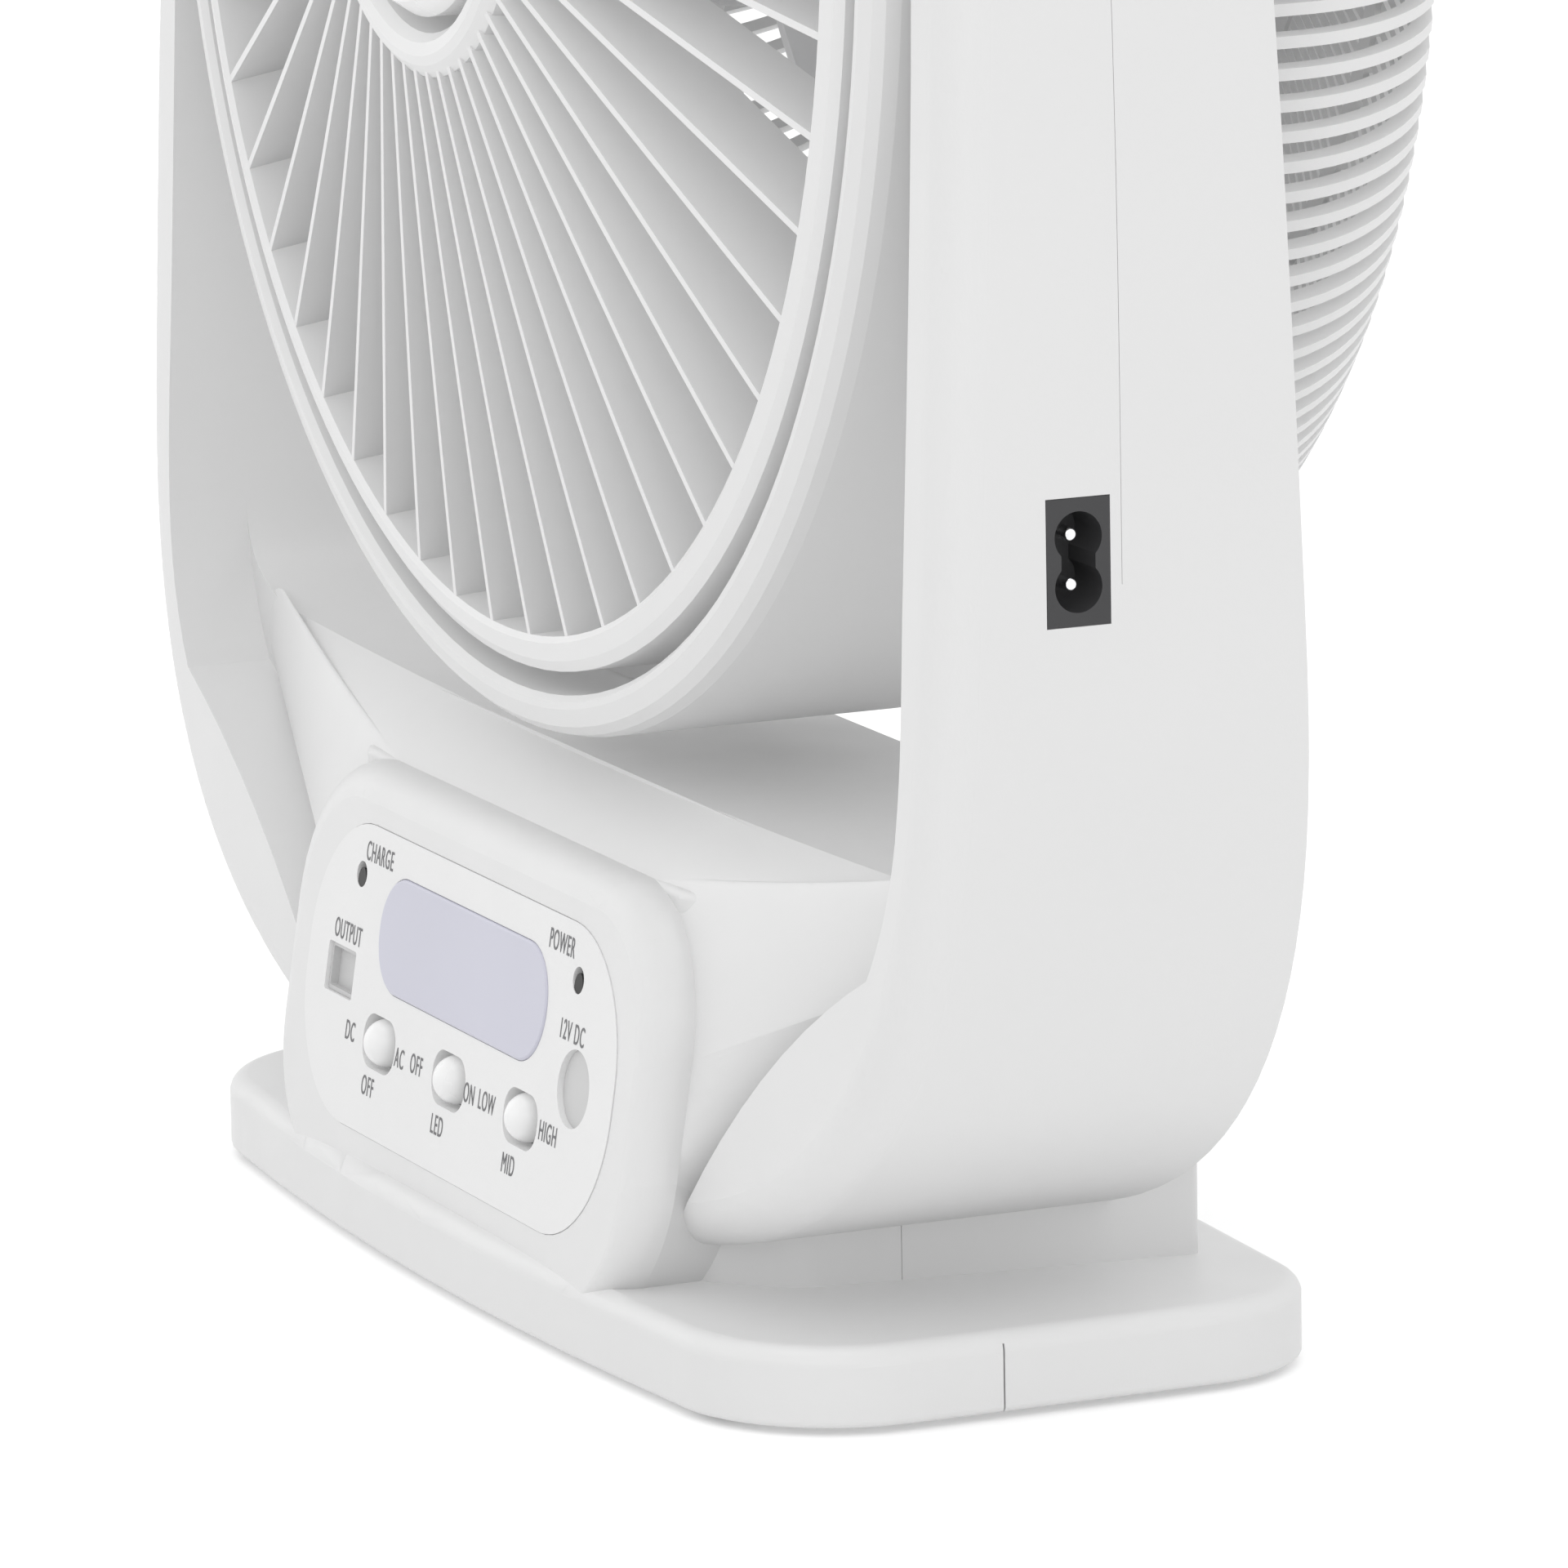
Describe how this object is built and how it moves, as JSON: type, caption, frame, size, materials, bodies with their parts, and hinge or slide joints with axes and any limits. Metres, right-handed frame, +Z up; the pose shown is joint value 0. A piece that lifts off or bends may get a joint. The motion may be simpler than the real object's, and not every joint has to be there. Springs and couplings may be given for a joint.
{
  "type": "box fan",
  "caption": "Portable box fan: louvred drum head tilting in an egg-shaped strap stand with a carry handle, control pod with lamp lens and slide switches, flat base.",
  "frame": {"origin": "floor level, under the middle of the fan's bounding box", "axes": "+Z up, -Y the side the air blows out, +X the side with the mains inlet"},
  "size_m": [0.3821, 0.1696, 0.499],
  "materials": {
    "white_shell": "smooth satin moulding",
    "white_grille": "smooth satin moulding",
    "white_panel": "smooth satin moulding",
    "white_knob": "polished moulding",
    "white_blade": "satin moulding",
    "lamp_diffuser": "frosted diffuser",
    "black_plastic": "black moulding",
    "dark_grey_plastic": "dark moulding",
    "grey_plastic": "grey moulding",
    "rubber": "soft rubber",
    "plated_steel": "zinc plated",
    "steel": "turned steel",
    "chrome_pin": "bright plated",
    "motor_metal": "grey coated steel",
    "laminations": "stacked electrical steel",
    "copper_wire": "enamelled copper winding",
    "circuit_board": "coated laminate",
    "battery_case": "moulded battery case",
    "led_clear": "tinted lens",
    "nylon": "natural nylon"
  },
  "bodies": {
    "stand": {"stand_front_shell": "white_shell", "stand_rear_shell": "white_shell", "base_cover": "white_shell", "rubber_feet": "rubber", "base_screws": "plated_steel", "shell_screws": "plated_steel", "control_panel": "white_panel", "led_lens": "lamp_diffuser", "led_board": "circuit_board", "charge_indicator": "led_clear", "power_indicator": "led_clear", "usb_socket": "grey_plastic", "dc_jack": "grey_plastic", "slide_switches": "grey_plastic", "control_board": "circuit_board", "battery": "battery_case", "battery_bracket": "plated_steel", "mains_board": "circuit_board", "mains_transformer": "laminations", "mains_inlet": "dark_grey_plastic", "inlet_pins": "chrome_pin", "pivot_pin_right": "steel", "pivot_pin_left": "steel", "tilt_washer_right": "nylon", "tilt_washer_left": "nylon"},
    "head": {"drum_shell": "white_shell", "front_support": "white_grille", "support_screws": "plated_steel", "louvre_spindle": "steel", "louvre_clip": "nylon", "rear_grille": "white_grille", "rear_badge": "white_shell", "drum_screws": "plated_steel", "motor_front_case": "motor_metal", "motor_rear_case": "motor_metal", "motor_screws": "plated_steel", "front_bearing": "steel", "rear_bearing": "steel", "stator_core": "laminations", "stator_windings": "copper_wire"},
    "fan": {"impeller": "white_blade", "impeller_nut": "white_blade", "motor_shaft": "steel", "motor_rotor": "laminations"},
    "louvre": {"louvre_grille": "white_grille"},
    "louvre_lock": {"louvre_knob": "white_knob"},
    "source_slider": {"source_knob": "white_knob"},
    "lamp_slider": {"lamp_knob": "white_knob"},
    "speed_slider": {"speed_knob": "white_knob"}
  },
  "joints": [
    {"name": "head_tilt", "type": "hinge", "parent": "stand", "child": "head", "pos_m": [0, -0.02135, 0.273], "axis": [-1, 0, 0], "range_deg": [-12, 30]},
    {"name": "fan_spin", "type": "hinge", "parent": "head", "child": "fan", "pos_m": [0, -0.05585, 0.273], "axis": [0, 1, 0], "continuous": true},
    {"name": "louvre_turn", "type": "hinge", "parent": "head", "child": "louvre", "pos_m": [0, -0.05585, 0.273], "axis": [0, 1, 0], "continuous": true},
    {"name": "louvre_lock_push", "type": "slide", "parent": "head", "child": "louvre_lock", "axis": [0, 1, 0], "range_m": [0, 0.003]},
    {"name": "source_switch", "type": "slide", "parent": "stand", "child": "source_slider", "axis": [1, 0, 0], "range_m": [-0.0012, 0.0052]},
    {"name": "lamp_switch", "type": "slide", "parent": "stand", "child": "lamp_slider", "axis": [1, 0, 0], "range_m": [-0.0012, 0.0052]},
    {"name": "speed_switch", "type": "slide", "parent": "stand", "child": "speed_slider", "axis": [1, 0, 0], "range_m": [-0.0012, 0.0052]}
  ]
}
